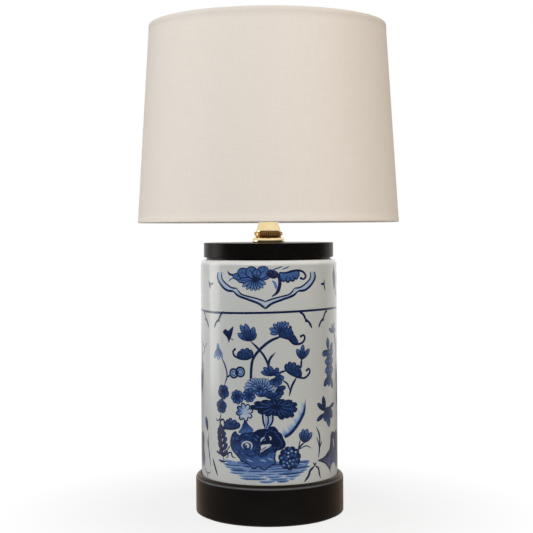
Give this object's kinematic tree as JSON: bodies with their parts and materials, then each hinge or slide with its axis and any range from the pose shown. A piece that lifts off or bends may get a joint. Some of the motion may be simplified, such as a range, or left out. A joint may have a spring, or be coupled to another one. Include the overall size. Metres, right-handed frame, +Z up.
{
  "type": "vase table lamp",
  "caption": "Table lamp: blue-and-white porcelain cylinder vase on a black turned base, with cap, brass neck, harp, screw socket and a tapered linen drum shade.",
  "frame": {"origin": "centre of the felt's underside, on the table", "axes": "+Z up along the lamp's axis, -Y the pictured front, +Y the side of the cord bushing"},
  "size_m": [0.2791, 0.2792, 0.5316],
  "materials": {
    "felt": "short wool nap",
    "black_wood": "satin black lacquer over turned wood",
    "porcelain": "clear gloss glaze over cobalt painting",
    "brass": "polished, lacquered",
    "steel": "zinc plated",
    "aluminium": "rolled thread, bright",
    "black_plastic": "moulded, satin",
    "fibre": "pressed fibre board",
    "linen": "ivory slubbed linen",
    "shade_liner": "white styrene sheet",
    "bulb_white": "moulded white",
    "bulb_frost": "frosted dome"
  },
  "bodies": {
    "lamp_body": {"base_felt": "felt", "base_plinth": "black_wood", "cord_bushing": "black_plastic", "rod_nut_bottom": "steel", "rod_washer_bottom": "steel", "center_rod": "steel", "vase_body": "porcelain", "vase_cap": "black_wood", "check_ring": "brass", "knurled_ring": "brass", "neck": "brass", "harp_saddle": "brass", "rod_nut_top": "brass", "socket_cap": "brass", "socket_cap_screw": "steel", "socket_cap_liner": "fibre", "socket_shell": "brass", "socket_shell_liner": "fibre", "socket_body": "black_plastic", "socket_screw_shell": "brass", "socket_contact": "brass", "terminal_screws": "steel", "harp_loop": "brass"},
    "switch": {"switch_stem": "brass", "switch_knob": "black_plastic"},
    "sleeve_left": {"harp_sleeve_left": "brass"},
    "sleeve_right": {"harp_sleeve_right": "brass"},
    "shade": {"harp_stud": "brass", "shade_spider": "brass", "shade_ring_top": "brass", "shade_ring_bottom": "brass", "shade_liner": "shade_liner", "shade_fabric": "linen"},
    "finial_base": {"finial_collar": "brass"},
    "finial_head": {"finial_ball": "brass"},
    "bulb_foot": {"bulb_contact": "steel"},
    "bulb": {"bulb_insulator": "black_plastic", "bulb_screw_shell": "aluminium", "bulb_housing": "bulb_white", "bulb_diffuser": "bulb_frost"}
  },
  "joints": [
    {"name": "switch_turn", "type": "hinge", "parent": "lamp_body", "child": "switch", "pos_m": [0, -0.025, 0.3474], "axis": [0, -1, 0], "continuous": true},
    {"name": "sleeve_left_slide", "type": "slide", "parent": "lamp_body", "child": "sleeve_left", "axis": [0, 0, 1], "range_m": [0, 0.014]},
    {"name": "sleeve_right_slide", "type": "slide", "parent": "lamp_body", "child": "sleeve_right", "axis": [0, 0, 1], "range_m": [0, 0.014]},
    {"name": "shade_swivel", "type": "hinge", "parent": "lamp_body", "child": "shade", "pos_m": [0, 0, 0.5], "axis": [0, 0, 1], "continuous": true},
    {"name": "finial_rise", "type": "slide", "parent": "shade", "child": "finial_base", "axis": [0, 0, 1], "range_m": [0, 0.00846]},
    {"name": "finial_turn", "type": "hinge", "parent": "finial_base", "child": "finial_head", "pos_m": [0, 0, 0.515], "axis": [0, 0, 1], "range_deg": [0, 3245]},
    {"name": "bulb_rise", "type": "slide", "parent": "lamp_body", "child": "bulb_foot", "axis": [0, 0, 1], "range_m": [0, 0.01466]},
    {"name": "bulb_turn", "type": "hinge", "parent": "bulb_foot", "child": "bulb", "pos_m": [0, 0, 0.4], "axis": [0, 0, 1], "range_deg": [0, 1440]}
  ],
  "couplings": [
    {"joint": "finial_turn", "follows": "finial_rise", "rad_per_m": 6684.2},
    {"joint": "bulb_rise", "follows": "bulb_turn", "m_per_rad": 0.00057773}
  ]
}
